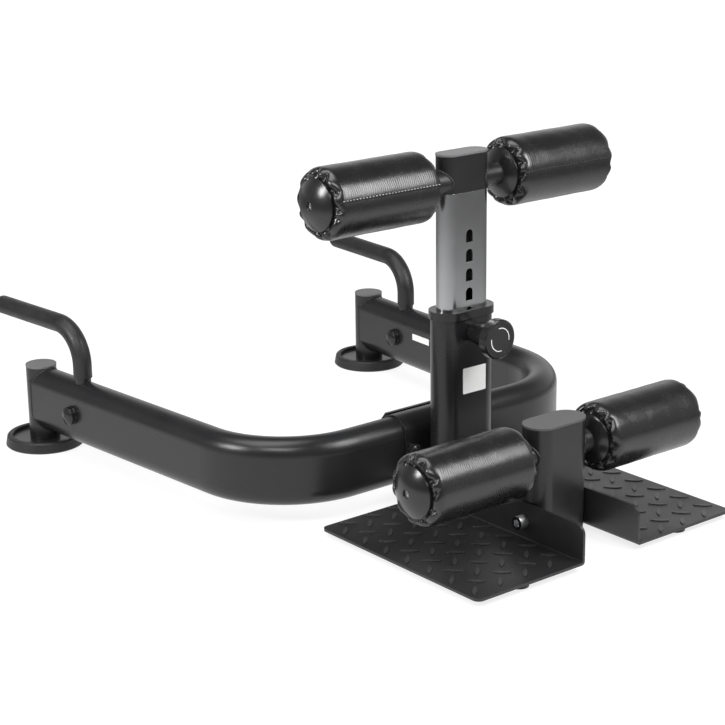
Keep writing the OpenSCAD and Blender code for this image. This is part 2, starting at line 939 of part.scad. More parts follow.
module pad() {
  rings = concat(
    [for (k = [0:pad_last]) pad_ring(-1, k)],
    [for (k = [pad_last:-1:0]) pad_ring(1, k)]
  );
  n = len(rings);
  points = [for (ring = rings, p = ring) p];
  faces = [
    for (k = [0:n - 1], c = [0:pad_cols - 1])
      let (k2 = (k + 1) % n, c2 = (c + 1) % pad_cols)
        each [
          [k * pad_cols + c, k2 * pad_cols + c2, k2 * pad_cols + c],
          [k * pad_cols + c, k * pad_cols + c2, k2 * pad_cols + c2]
        ]
  ];
  polyhedron(points = points, faces = faces);
}

module core() {
  rotate([0, 90, 0])
    difference() {
      cylinder(r = core_out_r, h = core_len, center = true);
      cylinder(r = core_in_r, h = core_len + 2 * past, center = true);
    }
}

// A domed end cap along +X, its rim's inner face at x = 0
module cap_blank() {
  ball = (cap_d * cap_d / 4 + cap_dome * cap_dome) / (2 * cap_dome);
  rotate([0, 90, 0]) {
    cylinder(d = cap_d, h = cap_rim);
    translate([0, 0, cap_rim + cap_dome - ball])
      intersection() {
        sphere(r = ball);
        translate([0, 0, ball - cap_dome]) cylinder(d = cap_d, h = cap_dome + past);
      }
  }
}

module inner_cap() {
  difference() {
    cap_blank();
    rotate([0, 90, 0])
      translate([0, 0, -past]) cylinder(r = axle_d / 2 + running, h = cap_rim + cap_dome + 2 * past);
  }
}

outer_plug_len = 20;
// Thickness under the screw's head, from the rim's inner face
screw_seat = cap_rim + 2;
screw_len = outer_plug_len + screw_seat;
screw_head_h = 5;
screw_socket_h = 3;
screw_socket_af = 5;

module outer_cap() {
  difference() {
    union() {
      cap_blank();
      rotate([0, 90, 0])
        translate([0, 0, -outer_plug_len])
          cylinder(r = axle_d / 2 - axle_wall - fit, h = outer_plug_len);
    }
    rotate([0, 90, 0]) {
      translate([0, 0, -outer_plug_len - past])
        cylinder(r = screw_d / 2 + running, h = outer_plug_len + cap_dome + cap_rim + 2 * past);
      translate([0, 0, screw_seat]) cylinder(d = screw_well_d, h = cap_dome + past);
    }
  }
}

// A socket-head screw whose head bears on the plane x = 0
module cap_screw() {
  rotate([0, 90, 0])
    difference() {
      union() {
        cylinder(d = screw_head_d, h = screw_head_h);
        translate([0, 0, -screw_len]) cylinder(d = screw_d, h = screw_len);
      }
      translate([0, 0, screw_head_h - screw_socket_h]) hex_prism(screw_socket_af, screw_socket_h + past);
    }
}

module axle_tube(x0, x1) {
  translate([x0, 0, 0])
    rotate([0, 90, 0])
      difference() {
        cylinder(d = axle_d, h = x1 - x0);
        translate([0, 0, -past]) cylinder(d = axle_d - 2 * axle_wall, h = x1 - x0 + 2 * past);
      }
}

module at_upper(x) {
  translate([x, mast_y, upper_axis_z]) children();
}

module at_lower(x) {
  translate([x, lower_y, lower_axis_z]) children();
}

upper_out_x = upper_mid_x + roller_len / 2 - cap_rim;
upper_in_x = upper_mid_x - roller_len / 2 + cap_rim;
lower_out_x = lower_mid_x + roller_len / 2 - cap_rim;
lower_in_x = lower_mid_x - roller_len / 2 + cap_rim;

module lower_axle() {
  color(black_paint) at_lower(0) axle_tube(-lower_out_x, lower_out_x);
}

module lower_inner_caps() {
  color(black_plastic) on_both_sides() at_lower(lower_in_x) mirror([1, 0, 0]) inner_cap();
}

module lower_outer_caps() {
  color(black_plastic) on_both_sides() at_lower(lower_out_x) outer_cap();
}

module lower_cap_screws() {
  color(zinc) on_both_sides() at_lower(lower_out_x + screw_seat) cap_screw();
}

// Each calf-roller axle is cut to the round end of the head and welded to it
module upper_axles() {
  color(black_paint)
    on_both_sides()
      difference() {
        at_upper(0) axle_tube(0, upper_out_x);
        translate([0, mast_y, upper_axis_z - axle_d])
          oval_bar(head_w + 2 * fit, head_t + 2 * fit, 2 * axle_d);
      }
}

module upper_inner_caps() {
  color(black_plastic) on_both_sides() at_upper(upper_in_x) mirror([1, 0, 0]) inner_cap();
}

module upper_outer_caps() {
  color(black_plastic) on_both_sides() at_upper(upper_out_x) outer_cap();
}

module upper_cap_screws() {
  color(zinc) on_both_sides() at_upper(upper_out_x + screw_seat) cap_screw();
}

module upper_left_pad() {
  color(vinyl) at_upper(-upper_mid_x) pad();
}

module upper_right_pad() {
  color(vinyl) at_upper(upper_mid_x) pad();
}

module lower_left_pad() {
  color(vinyl) at_lower(-lower_mid_x) pad();
}

module lower_right_pad() {
  color(vinyl) at_lower(lower_mid_x) pad();
}

module upper_left_core() {
  color(grey_plastic) at_upper(-upper_mid_x) core();
}

module upper_right_core() {
  color(grey_plastic) at_upper(upper_mid_x) core();
}

module lower_left_core() {
  color(grey_plastic) at_lower(-lower_mid_x) core();
}

module lower_right_core() {
  color(grey_plastic) at_lower(lower_mid_x) core();
}

// Sliding mast

// A hole with a round top, centred on the pin when the mast's weight hangs on it
module pin_hole() {
  arch_r = hole_w / 2;
  circle(r = arch_r);
  translate([-arch_r, arch_r - hole_h]) square([hole_w, hole_h - arch_r]);
}

module mast() {
  color(chrome)
    difference() {
      translate([0, mast_y, mast_low]) oval_bar(mast_w, mast_t, mast_top - mast_low);
      translate([0, mast_y, mast_low - past]) oval_bar(mast_in_w, mast_in_t, mast_top - mast_low + 2 * past);
      for (k = [-holes_below:holes_above])
        translate([0, mast_front + mast_wall + past, pin_z + k * hole_pitch])
          along_minus_y() linear_extrude(height = mast_wall + 2 * past) pin_hole();
    }
}

// The head is welded on the mast's top, with a spigot in its bore
module mast_head() {
  spigot_h = 20;
  bore_w = mast_in_w - 2 * fit - 2 * head_wall;
  bore_t = mast_in_t - 2 * fit - 2 * head_wall;
  color(black_paint)
    difference() {
      union() {
        translate([0, mast_y, mast_top]) oval_bar(head_w, head_t, head_h - head_cap_t);
        translate([0, mast_y, mast_top - spigot_h])
          oval_bar(mast_in_w - 2 * fit, mast_in_t - 2 * fit, spigot_h);
      }
      translate([0, mast_y, mast_top - spigot_h - past])
        oval_bar(bore_w, bore_t, spigot_h + head_wall + past);
      translate([0, mast_y, mast_top + head_wall])
        oval_bar(head_w - 2 * head_wall, head_t - 2 * head_wall, head_h);
    }
}

module mast_head_cap() {
  color(grey_plastic)
    translate([0, mast_y, 0]) oval_plug(head_w, head_t, head_wall, head_cap_t, head_top, cap_lip);
}

// A plastic runner on the mast's foot that slides inside the sleeve
module mast_guide() {
  guide_w = mast_in_w - 2 * fit;
  guide_t = mast_in_t - 2 * fit;
  color(black_plastic)
    translate([0, mast_y, 0])
      difference() {
        translate([0, 0, mast_low - guide_lip])
          oval_bar(sleeve_in_w - 2 * slip, sleeve_in_t - 2 * slip, guide_h);
        translate([0, 0, mast_low])
          difference() {
            oval_bar(mast_w + 2 * fit, mast_t + 2 * fit, guide_h + past);
            translate([0, 0, -past]) oval_bar(guide_w, guide_t, guide_h + 3 * past);
          }
        translate([0, 0, mast_low - guide_lip - past])
          oval_bar(guide_w - 2 * guide_wall, guide_t - 2 * guide_wall, guide_h + 2 * past);
      }
}

// Height lock, drawn along -Y at the pin's height

module at_lock(y) {
  translate([0, y, pin_z]) along_minus_y() children();
}

// The round boss welded on the sleeve's front, which carries the pin's barrel
module pin_boss() {
  color(black_paint)
    at_lock(sleeve_front - fit)
      difference() {
        cylinder(r = pin_boss_r, h = pin_boss_t);
        translate([0, 0, -past]) cylinder(r = barrel_r + running, h = pin_boss_t + 2 * past);
      }
}

module pin_barrel() {
  color(zinc)
    difference() {
      at_lock(barrel_in_y) cylinder(r = barrel_r, h = barrel_in_y - barrel_out_y);
      at_lock(barrel_in_y + past) cylinder(r = pin_d / 2 + running, h = barrel_nose + 2 * past);
      at_lock(cavity_in_y) cylinder(r = barrel_bore_r, h = cavity_in_y - cavity_out_y);
      at_lock(cavity_out_y + past)
        cylinder(r = pin_stem_r + running, h = barrel_end_wall + 2 * past);
    }
}

module lock_pin() {
  color(zinc) {
    at_lock(pin_tip_y) cylinder(r = pin_d / 2, h = pin_tip_y - pin_collar_y);
    at_lock(pin_collar_y) cylinder(r = pin_collar_r, h = pin_collar_t);
    at_lock(pin_collar_y - pin_collar_t)
      cylinder(r = pin_stem_r, h = pin_collar_y - pin_collar_t - knob_back_y + pin_in_knob);
  }
}

module pull_knob() {
  disc_r = knob_d / 2;
  knob_len = knob_hub + knob_t;
  color(black_plastic)
    difference() {
      at_lock(hub_back_y)
        rotate_extrude()
          polygon([
            [0, 0], [hub_low_r - 1, 0], [hub_low_r, 1], [hub_high_r, knob_hub],
            [disc_r - knob_edge, knob_hub], [disc_r, knob_hub + knob_edge],
            [disc_r, knob_len - knob_edge], [disc_r - knob_edge, knob_len],
            [disc_r - knob_lip, knob_len], [disc_r - knob_lip, knob_len - disc_set],
            [0, knob_len - disc_set]
          ]);
      at_lock(hub_back_y + past)
        cylinder(r = barrel_r + slip, h = hub_back_y - barrel_out_y + past + slip);
      at_lock(barrel_out_y)
        cylinder(r = pin_stem_r + running, h = barrel_out_y - knob_back_y + pin_in_knob + slip);
    }
}

// The flat disc set in the knob's face
module knob_disc() {
  color(black_plastic)
    at_lock(knob_face_y + disc_set) cylinder(r = knob_d / 2 - knob_lip - fit, h = disc_set - fit);
}

// The return spring, wound round the pin between its collar and the barrel's end
spring_low = cavity_out_y + spring_wire / 2 + fit;
spring_high = pin_collar_y - pin_collar_t - spring_wire / 2 - fit;
spring_steps = 8 * spring_turns;

module pin_spring() {
  sides = 6;
  rings = [
    for (k = [0:spring_steps])
      let (a = 360 * spring_turns * k / spring_steps)
        [for (s = [0:sides - 1])
          let (b = 360 * s / sides, r = spring_mean_r + spring_wire / 2 * cos(b))
            [
              r * cos(a),
              spring_low + (spring_high - spring_low) * k / spring_steps + spring_wire / 2 * sin(b),
              pin_z + r * sin(a)
            ]
        ]
  ];
  side_faces = [
    for (k = [0:spring_steps - 1], s = [0:sides - 1])
      let (s2 = (s + 1) % sides)
        each [
          [k * sides + s, k * sides + s2, (k + 1) * sides + s2],
          [k * sides + s, (k + 1) * sides + s2, (k + 1) * sides + s]
        ]
  ];
  first = [for (s = [1:sides - 2]) [0, s + 1, s]];
  last_ring = spring_steps * sides;
  last = [for (s = [1:sides - 2]) [last_ring, last_ring + s, last_ring + s + 1]];
  color(zinc)
    polyhedron(points = [for (ring = rings, p = ring) p], faces = concat(side_faces, first, last));
}

spring_gap = (spring_high - spring_low) / spring_turns - spring_wire;
echo(least_gap_between_spring_turns = spring_gap);

left_arm();
right_arm();
centre_bracket();
clamp_plate();
bracket_bolts();
bracket_nuts();
bracket_bolt_covers();
main_beam();
mast_sleeve();
mast_spacer();
mast_collar();
lower_post();
lower_post_plug();
lower_post_cap();
left_tread();
right_tread();
tread_bolt();
tread_nut();
tread_rubber_pads();
left_end_post();
right_end_post();
left_end_cap();
right_end_cap();
left_foot_disc();
right_foot_disc();
left_disc_plate();
right_disc_plate();
left_handle();
right_handle();
left_grip();
right_grip();
handle_bolts();
handle_nuts();
handle_bolt_covers();
lower_axle();
lower_inner_caps();
lower_outer_caps();
lower_cap_screws();
pin_boss();
pin_barrel();
mast();
mast_head();
mast_head_cap();
mast_guide();
upper_axles();
upper_inner_caps();
upper_outer_caps();
upper_cap_screws();
upper_left_pad();
upper_left_core();
upper_right_pad();
upper_right_core();
lower_left_pad();
lower_left_core();
lower_right_pad();
lower_right_core();
lock_pin();
pin_spring();
pull_knob();
knob_disc();
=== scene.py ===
import math
import bpy
import numpy as np
from mathutils import Matrix, Vector


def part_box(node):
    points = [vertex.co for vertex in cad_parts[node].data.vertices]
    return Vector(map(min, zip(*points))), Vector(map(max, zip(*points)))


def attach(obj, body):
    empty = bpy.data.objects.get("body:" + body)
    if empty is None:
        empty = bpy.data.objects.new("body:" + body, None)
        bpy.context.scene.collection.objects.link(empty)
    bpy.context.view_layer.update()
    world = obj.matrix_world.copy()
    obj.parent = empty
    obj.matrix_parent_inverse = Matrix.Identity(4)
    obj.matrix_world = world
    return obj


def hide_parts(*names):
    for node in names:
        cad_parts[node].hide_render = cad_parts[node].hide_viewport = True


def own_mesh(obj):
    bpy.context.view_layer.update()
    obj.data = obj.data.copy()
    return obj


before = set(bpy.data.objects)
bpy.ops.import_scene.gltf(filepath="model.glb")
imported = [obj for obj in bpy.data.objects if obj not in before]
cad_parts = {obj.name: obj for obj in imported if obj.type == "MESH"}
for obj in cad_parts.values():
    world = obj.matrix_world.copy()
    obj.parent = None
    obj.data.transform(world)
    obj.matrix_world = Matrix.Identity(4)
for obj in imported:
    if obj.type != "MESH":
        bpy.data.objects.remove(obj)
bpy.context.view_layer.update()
scene = bpy.context.scene
scene.view_settings.view_transform = "Standard"


# Camera
# It stands where the photograph was taken from, low and to the front left of the bench, with a
# long lens. The numbers come from matching the bench's own edges to the picture.


def add_object(name, data):
    """A new object with this data, linked into the scene."""
    made = bpy.data.objects.new(name, data)
    scene.collection.objects.link(made)
    return made


azimuth, elevation, roll = (math.radians(a) for a in (-38.47238, 16.53564, -0.78339))
aim = Vector((-0.072377, -0.066215, 0.209063))
camera_distance = 2.791863
away = Vector((math.sin(azimuth) * math.cos(elevation),
               -math.cos(azimuth) * math.cos(elevation), math.sin(elevation)))
across = Vector((math.cos(azimuth), math.sin(azimuth), 0))
upward = away.cross(across)
across, upward = (math.cos(roll) * across + math.sin(roll) * upward,
                  math.cos(roll) * upward - math.sin(roll) * across)
camera = add_object("camera", bpy.data.cameras.new("camera"))
camera.data.sensor_width = 36
camera.data.lens = 94.4761
camera.data.shift_x = 0.007414
camera.data.shift_y = -0.017285
place = Matrix((across, upward, away)).transposed().to_4x4()
place.translation = aim + away * camera_distance
camera.matrix_world = place
scene.camera = camera


# Studio
# A white floor runs into a white surround, and near the bench it keeps the bench's shadow. Mirrors
# and gloss see a pale floor and wall, lightest to the right and behind, and a dark ceiling overhead.


def sum_node(tree, operation, first, second=0.0):
    """A maths node with its two inputs linked or set."""
    made = tree.nodes.new("ShaderNodeMath")
    made.operation = operation
    for slot, value in enumerate((first, second)):
        if hasattr(value, "is_output"):
            tree.links.new(value, made.inputs[slot])
        else:
            made.inputs[slot].default_value = value
    return made.outputs[0]


def ramp_node(tree, value, low, high, at_low, at_high):
    """A value that runs evenly from at_low to at_high while another runs from low to high."""
    made = tree.nodes.new("ShaderNodeMapRange")
    for label, number in (("From Min", low), ("From Max", high),
                          ("To Min", at_low), ("To Max", at_high)):
        made.inputs[label].default_value = number
    tree.links.new(value, made.inputs["Value"])
    return made.outputs["Result"]


def mix_shaders(tree, share, first, second):
    """Two shaders blended by a share of the second."""
    made = tree.nodes.new("ShaderNodeMixShader")
    tree.links.new(share, made.inputs[0])
    tree.links.new(first.outputs[0], made.inputs[1])
    tree.links.new(second.outputs[0], made.inputs[2])
    return made


def mirror_rays(tree, path):
    """1 for the rays that gloss and glass send out."""
    return sum_node(tree, "ADD", path.outputs["Is Glossy Ray"], path.outputs["Is Transmission Ray"])


def add_mesh(name, points, faces, edges=(), material=None):
    """A new piece made of these points and faces, or of edges alone."""
    mesh = bpy.data.meshes.new(name)
    mesh.from_pydata(points, edges, faces)
    if material:
        mesh.materials.append(material)
    return add_object(name, mesh)


def distance_from(tree, spot):
    """How far a point of the object is from a spot."""
    place_on = tree.nodes.new("ShaderNodeTexCoord")
    made = tree.nodes.new("ShaderNodeVectorMath")
    made.operation = "DISTANCE"
    made.inputs[1].default_value = spot
    tree.links.new(place_on.outputs["Object"], made.inputs[0])
    return made.outputs["Value"]


floor_paint = bpy.data.materials.new("studio_floor")
floor_paint.use_nodes = True
tree = floor_paint.node_tree
nodes, links = tree.nodes, tree.links
nodes.clear()
path = nodes.new("ShaderNodeLightPath")
painted = nodes.new("ShaderNodeBsdfDiffuse")
painted.inputs["Color"].default_value = (0.86, 0.86, 0.86, 1)
mirrored_white = nodes.new("ShaderNodeEmission")
glow = ramp_node(tree, distance_from(tree, (-0.35, -0.25, 0)), 0.8, 1.7, 1.0, 0.15)
links.new(glow, mirrored_white.inputs["Strength"])
seen_white = nodes.new("ShaderNodeEmission")
seen_white.inputs["Color"].default_value = (1.1, 1.1, 1.1, 1)
mirror_share = sum_node(tree, "MULTIPLY", mirror_rays(tree, path), 0.9)
inner = mix_shaders(tree, mirror_share, painted, mirrored_white)
fade = ramp_node(tree, distance_from(tree, (0, 0, 0)), 0.75, 1.7, 0.72, 1.0)
camera_share = sum_node(tree, "MULTIPLY", path.outputs["Is Camera Ray"], fade)
outer = mix_shaders(tree, camera_share, inner, seen_white)
out = nodes.new("ShaderNodeOutputMaterial")
links.new(outer.outputs[0], out.inputs["Surface"])
half = 9
corners = [(-half, -half, 0), (half, -half, 0), (half, half, 0), (-half, half, 0)]
floor = add_mesh("studio_floor", corners, [(0, 1, 2, 3)], material=floor_paint)
floor.location.z = -0.0004

world = bpy.data.worlds.new("studio")
scene.world = world
world.use_nodes = True
tree = world.node_tree
nodes, links = tree.nodes, tree.links
nodes.clear()
path = nodes.new("ShaderNodeLightPath")
direction = nodes.new("ShaderNodeTexCoord")
apart = nodes.new("ShaderNodeSeparateXYZ")
links.new(direction.outputs["Generated"], apart.inputs[0])
soft, wall, white = (nodes.new("ShaderNodeBackground") for _ in range(3))
soft.inputs["Strength"].default_value = 0.6
wall_rise = ramp_node(tree, apart.outputs["Z"], 0.36, 0.6, 0.95, 0.08)
wall_side = sum_node(tree, "MULTIPLY", ramp_node(tree, apart.outputs["X"], -0.5, 0.3, 0.3, 1.0),
                     ramp_node(tree, apart.outputs["Y"], -0.5, 0.3, 0.38, 0.95))
links.new(sum_node(tree, "MULTIPLY", wall_rise, wall_side), wall.inputs["Strength"])
for light in (soft, wall, white):
    light.inputs["Color"].default_value = (1, 1, 1, 1)
inner = mix_shaders(tree, mirror_rays(tree, path), soft, wall)
outer = mix_shaders(tree, path.outputs["Is Camera Ray"], inner, white)
out = nodes.new("ShaderNodeOutputWorld")
links.new(outer.outputs[0], out.inputs["Surface"])

# name, shape, place, point aimed at, width, height, power
for name, outline, spot, target, wide, high, power in (
        ("front_softbox", "RECTANGLE", (0.5, -1.2, 1.2), (0.3, -0.2, 0.35), 0.7, 0.75, 18),
        ("corner_softbox", "RECTANGLE", (-1.35, -1.05, 1.7), (-0.15, -0.1, 0.1), 1.0, 0.5, 13),
        ("left_softbox", "ELLIPSE", (-2.0, 0.25, 1.25), (0, -0.1, 0.25), 0.55, 0.7, 22),
        ("top_softbox", "RECTANGLE", (-0.6, 0.2, 2.6), (0, 0.05, 0.1), 1.4, 1.8, 30)):
    lamp = bpy.data.lights.new(name, "AREA")
    lamp.shape = outline
    lamp.size, lamp.size_y, lamp.energy = wide, high, power
    lamp_object = add_object(name, lamp)
    lamp_object.location = spot
    lamp_object.rotation_euler = (Vector(spot) - Vector(target)).to_track_quat("Z", "Y").to_euler()


# Frame tubes
# The frame is welded from flat-oval steel tube and powder coated satin black. The coat has a fine
# orange peel and goes a little duller where it has been rubbed.

def add_group(name, inputs, outputs):
    """An empty shader group with its sockets: (name, type, value)."""
    group = bpy.data.node_groups.new(name, "ShaderNodeTree")
    for label, kind, value in inputs:
        socket = group.interface.new_socket(label, in_out="INPUT", socket_type=kind)
        socket.default_value = value
    for label, kind in outputs:
        group.interface.new_socket(label, in_out="OUTPUT", socket_type=kind)
    return group, group.nodes.new("NodeGroupInput"), group.nodes.new("NodeGroupOutput")


surface_grain, given, result = add_group(
    "surface_grain",
    [("Grain Scale", "NodeSocketFloat", 900.0), ("Grain Depth", "NodeSocketFloat", 0.2),
     ("Edge Radius", "NodeSocketFloat", 0.0008),
     ("Rub Scale", "NodeSocketFloat", 9.0), ("Roughness Low", "NodeSocketFloat", 0.35),
     ("Roughness High", "NodeSocketFloat", 0.5), ("Dark", "NodeSocketColor", (0.01, 0.01, 0.01, 1)),
     ("Light", "NodeSocketColor", (0.02, 0.02, 0.02, 1))],
    [("Color", "NodeSocketColor"), ("Roughness", "NodeSocketFloat"), ("Normal", "NodeSocketVector")])
nodes, links = surface_grain.nodes, surface_grain.links
place_on = nodes.new("ShaderNodeTexCoord")
grain = nodes.new("ShaderNodeTexNoise")
grain.inputs["Detail"].default_value = 3
links.new(place_on.outputs["Object"], grain.inputs["Vector"])
links.new(given.outputs["Grain Scale"], grain.inputs["Scale"])
edge = nodes.new("ShaderNodeBevel")
edge.samples = 4
links.new(given.outputs["Edge Radius"], edge.inputs["Radius"])
bump = nodes.new("ShaderNodeBump")
bump.inputs["Distance"].default_value = 0.0004
links.new(edge.outputs["Normal"], bump.inputs["Normal"])
links.new(given.outputs["Grain Depth"], bump.inputs["Strength"])
links.new(grain.outputs["Fac"], bump.inputs["Height"])
links.new(bump.outputs["Normal"], result.inputs["Normal"])
rub = nodes.new("ShaderNodeTexNoise")
rub.inputs["Detail"].default_value = 6
rub.inputs["Roughness"].default_value = 0.62
links.new(place_on.outputs["Object"], rub.inputs["Vector"])
links.new(given.outputs["Rub Scale"], rub.inputs["Scale"])
spread = nodes.new("ShaderNodeMapRange")
spread.inputs["From Min"].default_value = 0.3
spread.inputs["From Max"].default_value = 0.7
links.new(rub.outputs["Fac"], spread.inputs["Value"])
links.new(given.outputs["Roughness Low"], spread.inputs["To Min"])
links.new(given.outputs["Roughness High"], spread.inputs["To Max"])
links.new(spread.outputs["Result"], result.inputs["Roughness"])
tone = nodes.new("ShaderNodeMix")
tone.data_type = "RGBA"
links.new(rub.outputs["Fac"], tone.inputs["Factor"])
links.new(given.outputs["Dark"], tone.inputs["A"])
links.new(given.outputs["Light"], tone.inputs["B"])
links.new(tone.outputs["Result"], result.inputs["Color"])


def finish_material(name, dark, light, rough, grain_scale=900, grain_depth=0.2, rub_scale=9,
                    metallic=0.0, specular=0.5, edge_radius=0.0008):
    """A finish with its own grain, tone and rub marks."""
    made = bpy.data.materials.new(name)
    made.use_nodes = True
    nodes, links = made.node_tree.nodes, made.node_tree.links
    skin = nodes["Principled BSDF"]
    skin.inputs["Metallic"].default_value = metallic
    skin.inputs["Specular IOR Level"].default_value = specular
    worn = nodes.new("ShaderNodeGroup")
    worn.node_tree = surface_grain
    worn.inputs["Grain Scale"].default_value = grain_scale
    worn.inputs["Grain Depth"].default_value = grain_depth
    worn.inputs["Rub Scale"].default_value = rub_scale
    worn.inputs["Edge Radius"].default_value = edge_radius
    worn.inputs["Roughness Low"].default_value = rough[0]
    worn.inputs["Roughness High"].default_value = rough[1]
    worn.inputs["Dark"].default_value = (*dark, 1)
    worn.inputs["Light"].default_value = (*light, 1)
    links.new(worn.outputs["Color"], skin.inputs["Base Color"])
    links.new(worn.outputs["Roughness"], skin.inputs["Roughness"])
    links.new(worn.outputs["Normal"], skin.inputs["Normal"])
    return made


def coat(material, *names):
    """Gives CAD nodes a finish."""
    for name in names:
        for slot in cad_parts[name].material_slots:
            slot.material = material


powder_coat = finish_material("powder_coat", (0.008, 0.008, 0.009), (0.015, 0.015, 0.016),
                              (0.25, 0.35), grain_scale=700, grain_depth=0.12)
coat(powder_coat, "left_arm", "right_arm", "centre_bracket", "clamp_plate", "main_beam",
     "mast_sleeve", "mast_spacer", "lower_post", "left_end_post", "right_end_post",
     "left_disc_plate", "right_disc_plate", "left_handle", "right_handle", "lower_axle",
     "upper_axles", "mast_head", "pin_boss")


# Weld beads
# Each joint of the frame is closed by a bead of weld under the paint, laid as a row of small
# overlapping ripples. The beads follow the seam where one tube meets the next.

bead_tree = bpy.data.node_groups.new("bead_row", "GeometryNodeTree")
for label, kind, value in (("Geometry", "NodeSocketGeometry", None),
                           ("Spacing", "NodeSocketFloat", 0.0016),
                           ("Radius", "NodeSocketFloat", 0.0026),
                           ("Proportions", "NodeSocketVector", (1.0, 1.0, 0.72)),
                           ("Finish", "NodeSocketMaterial", None)):
    socket = bead_tree.interface.new_socket(label, in_out="INPUT", socket_type=kind)
    if value is not None:
        socket.default_value = value
bead_tree.interface.new_socket("Geometry", in_out="OUTPUT", socket_type="NodeSocketGeometry")
nodes, links = bead_tree.nodes, bead_tree.links
given, result = nodes.new("NodeGroupInput"), nodes.new("NodeGroupOutput")
line = nodes.new("GeometryNodeMeshToCurve")
steps = nodes.new("GeometryNodeCurveToPoints")
steps.mode = "LENGTH"
ripple = nodes.new("GeometryNodeMeshIcoSphere")
ripple.inputs["Subdivisions"].default_value = 2
lay = nodes.new("GeometryNodeInstanceOnPoints")
solid = nodes.new("GeometryNodeRealizeInstances")
smooth = nodes.new("GeometryNodeSetShadeSmooth")
paint = nodes.new("GeometryNodeSetMaterial")
links.new(given.outputs["Geometry"], line.inputs["Mesh"])
links.new(line.outputs["Curve"], steps.inputs["Curve"])
links.new(given.outputs["Spacing"], steps.inputs["Length"])
links.new(given.outputs["Radius"], ripple.inputs["Radius"])
links.new(steps.outputs["Points"], lay.inputs["Points"])
links.new(ripple.outputs["Mesh"], lay.inputs["Instance"])
links.new(steps.outputs["Rotation"], lay.inputs["Rotation"])
links.new(given.outputs["Proportions"], lay.inputs["Scale"])
links.new(lay.outputs["Instances"], solid.inputs["Geometry"])
links.new(solid.outputs["Geometry"], smooth.inputs["Geometry"])
links.new(smooth.outputs["Geometry"], paint.inputs["Geometry"])
links.new(given.outputs["Finish"], paint.inputs["Material"])
links.new(paint.outputs["Geometry"], result.inputs["Geometry"])


def socket_id(group, label):
    """The identifier of a group's input, by its name."""
    return next(s.identifier for s in group.interface.items_tree
                if s.item_type == "SOCKET" and s.in_out == "INPUT" and s.name == label)


def settled_mesh(piece):
    """The plain mesh that a piece's modifiers make."""
    seen = piece.evaluated_get(bpy.context.evaluated_depsgraph_get())
    return bpy.data.meshes.new_from_object(seen)


def grow(name, points, edges, group, values):
    """Runs a node group on a line of points and returns the piece that it makes."""
    guide = add_mesh(name + "_guide", points, [], edges)
    growth = guide.modifiers.new("growth", "NODES")
    growth.node_group = group
    for label, value in values.items():
        growth[socket_id(group, label)] = value
    made = settled_mesh(guide)
    made.name = name
    bpy.data.objects.remove(guide)
    return add_object(name, made)


def stadium(wide, deep, count):
    """Points round a flat-oval outline, its long side along the first axis."""
    half, r = (wide - deep) / 2, deep / 2
    length = 4 * half + 2 * math.pi * r
    ring = []
    for k in range(count):
        s = (k + 0.5) * length / count
        if s < math.pi * r:
            a = s / r - math.pi / 2
            ring.append((half + r * math.cos(a), r * math.sin(a)))
        elif s < math.pi * r + 2 * half:
            ring.append((half - (s - math.pi * r), r))
        elif s < 2 * math.pi * r + 2 * half:
            a = (s - math.pi * r - 2 * half) / r + math.pi / 2
            ring.append((-half + r * math.cos(a), r * math.sin(a)))
        else:
            ring.append((-half + (s - 2 * math.pi * r - 2 * half), -r))
    return ring


def line_edges(start, count, closed):
    """Edges that join count points from start in a row, or in a ring."""
    edges = [(start + k, start + k + 1) for k in range(count - 1)]
    return edges + [(start + count - 1, start)] if closed else edges


mast_y = sum(c[1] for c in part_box("mast")) / 2
lower_y = sum(c[1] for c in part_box("lower_post")) / 2
post_x, post_y = (sum(c[k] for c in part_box("right_end_post")) / 2 for k in (0, 1))
arm_splay = math.radians(4.35)
beam_z, arm_z = 0.0376, 0.078
upper_axis, lower_axis = 0.476, 0.1285
# The flat-oval tubes: half the length of the flat, and the radius of the round ends
tube_flat, tube_r = 0.025, 0.025
# An end post's radius at the weld, and an arm's end where it meets the post, wide and deep
end_post_r, arm_end = 0.0242, (0.094, 0.05)
# The weld on the round post runs a little taller and narrower than the arm's end
weld_taller, weld_narrower = 1.06, 0.955
beam_weld_half, axle_weld_r = 0.0475, 0.0172

seams, seam_edges = [], []


def add_seam(points, closed):
    """Adds one weld line to the frame's list."""
    seam_edges.extend(line_edges(len(seams), len(points), closed))
    seams.extend(points)


def add_axle_seams(mid_y, mid_z, end_r, half_wide):
    """Weld lines round an axle, where it leaves the two round ends of a tube."""
    steps = 40
    for side in (-1, 1):
        ring = []
        for k in range(steps):
            a = 2 * math.pi * k / steps
            y = half_wide * math.cos(a)
            x = tube_flat + math.sqrt(end_r ** 2 - y ** 2)
            ring.append((side * x, mid_y + y, mid_z + axle_weld_r * math.sin(a)))
        add_seam(ring, True)


# The foot of the mast sleeve on the beam's top, and the beam's end on the back of the lower post
for foot_y, face in ((mast_y, -1), (mast_y, 1), (lower_y, 1)):
    row = []
    for x in np.linspace(-beam_weld_half, beam_weld_half, 60):
        drop = max(0, abs(x) - tube_flat)
        deep = math.sqrt(tube_r ** 2 - drop ** 2)
        row.append((x, foot_y + face * deep, beam_z + deep))
    add_seam(row, False)
# Round the end posts, on the ends of the arms
for side in (-1, 1):
    row = []
    for u, z in stadium(*arm_end, 120):
        off, up = z * weld_narrower, u * weld_taller
        back = -math.sqrt(max(0, end_post_r ** 2 - off ** 2))
        x = post_x + off * math.cos(arm_splay) + back * math.sin(arm_splay)
        y = post_y - off * math.sin(arm_splay) + back * math.cos(arm_splay)
        row.append((side * x, y, arm_z + up))
    add_seam(row, True)
